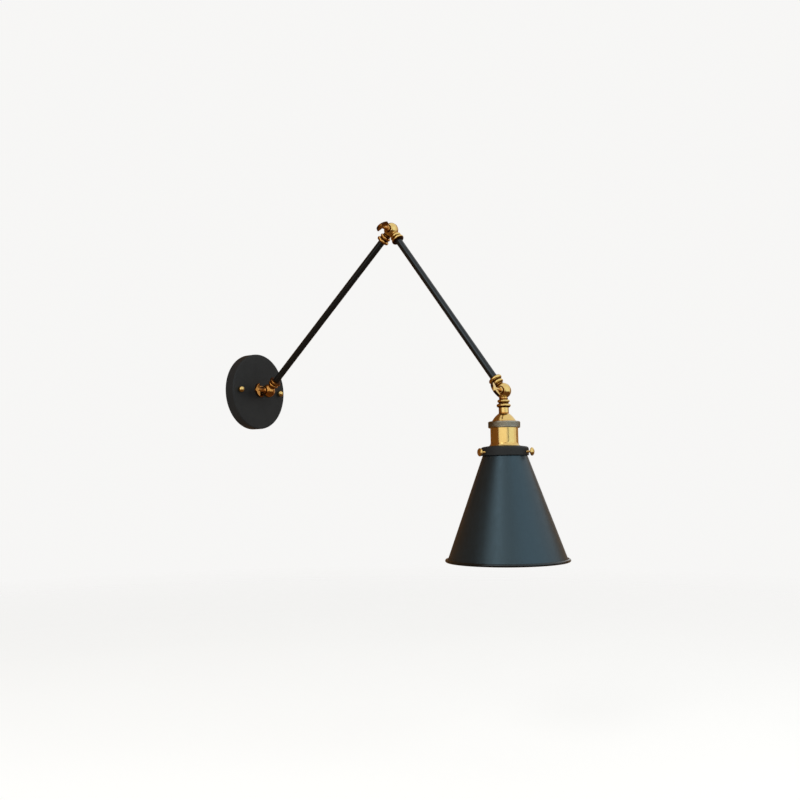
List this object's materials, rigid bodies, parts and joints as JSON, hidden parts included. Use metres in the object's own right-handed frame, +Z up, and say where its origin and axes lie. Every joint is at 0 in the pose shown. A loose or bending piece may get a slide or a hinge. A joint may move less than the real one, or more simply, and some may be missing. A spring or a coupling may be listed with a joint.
{
  "type": "swing arm wall lamp",
  "caption": "Wall lamp with a round black canopy, folding tube arms on brass clamping knuckles, a brass screw lamp holder and a black cone shade.",
  "frame": {"origin": "middle of the canopy's back, on the wall, between the two wall-screw slots", "axes": "+Y into the wall, so the lamp reaches out along -Y; +Z up; X along the wall and along the hinges"},
  "size_m": [0.1616, 0.5287, 0.4822],
  "materials": {
    "black_paint": "satin black powder coat",
    "antique_brass": "polished antique brass",
    "grey_ring": "knurled, dull pewter grey",
    "zinc_steel": "bright zinc plate",
    "porcelain": "glazed white porcelain",
    "black_bakelite": "moulded black bakelite"
  },
  "bodies": {
    "wall_base": {"wall_bracket": "zinc_steel", "earth_screw": "zinc_steel", "bracket_studs": "zinc_steel", "stud_lock_nuts": "zinc_steel", "ball_nuts": "antique_brass", "canopy": "black_paint", "canopy_nipple": "zinc_steel", "nipple_washer": "zinc_steel", "nipple_lock_nut": "zinc_steel", "wall_knuckle": "antique_brass"},
    "lower_arm": {"lower_arm_root": "antique_brass", "lower_arm_tube": "black_paint", "lower_arm_tip": "antique_brass"},
    "upper_arm": {"upper_arm_root": "antique_brass", "upper_arm_tube": "black_paint", "upper_arm_tip": "antique_brass"},
    "lamp_head": {"head_knuckle": "antique_brass", "head_nipple": "zinc_steel", "holder_cap": "antique_brass", "coupling_ring": "grey_ring", "holder_shell": "antique_brass", "porcelain_core": "porcelain", "terminal_screws": "antique_brass", "screw_shell": "antique_brass", "centre_contact": "antique_brass", "insulating_sleeve": "black_bakelite", "shade_fitter": "black_paint", "shade_ring": "black_bakelite", "shade": "black_paint"},
    "wall_wing": {"wall_wing_screw": "antique_brass"},
    "elbow_wing": {"elbow_wing_screw": "antique_brass"},
    "lamp_wing": {"lamp_wing_screw": "antique_brass"},
    "front_screw": {"front_thumb_screw": "antique_brass"},
    "left_screw": {"left_thumb_screw": "antique_brass"},
    "right_screw": {"right_thumb_screw": "antique_brass"}
  },
  "joints": [
    {"name": "wall_knuckle_tilt", "type": "hinge", "parent": "wall_base", "child": "lower_arm", "pos_m": [0, -0.035, 0], "axis": [1, 0, 0], "range_deg": [-46, 132]},
    {"name": "elbow_fold", "type": "hinge", "parent": "lower_arm", "child": "upper_arm", "pos_m": [0, -0.27293, 0.2211], "axis": [1, 0, 0], "range_deg": [-203, 7]},
    {"name": "lamp_tilt", "type": "hinge", "parent": "upper_arm", "child": "lamp_head", "pos_m": [0, -0.44787, -0.02874], "axis": [1, 0, 0], "range_deg": [-140, 70]},
    {"name": "wall_wing_turn", "type": "hinge", "parent": "wall_base", "child": "wall_wing", "pos_m": [0, -0.035, 0], "axis": [1, 0, 0], "continuous": true},
    {"name": "elbow_wing_turn", "type": "hinge", "parent": "lower_arm", "child": "elbow_wing", "pos_m": [0, -0.27293, 0.2211], "axis": [1, 0, 0], "continuous": true},
    {"name": "lamp_wing_turn", "type": "hinge", "parent": "upper_arm", "child": "lamp_wing", "pos_m": [0, -0.44787, -0.02874], "axis": [1, 0, 0], "continuous": true},
    {"name": "front_screw_turn", "type": "hinge", "parent": "lamp_head", "child": "front_screw", "pos_m": [0, -0.44787, -0.11069], "axis": [0, -1, 0], "continuous": true},
    {"name": "left_screw_turn", "type": "hinge", "parent": "lamp_head", "child": "left_screw", "pos_m": [0, -0.44787, -0.11069], "axis": [-0.866, 0.5, 0], "continuous": true},
    {"name": "right_screw_turn", "type": "hinge", "parent": "lamp_head", "child": "right_screw", "pos_m": [0, -0.44787, -0.11069], "axis": [0.866, 0.5, 0], "continuous": true}
  ]
}
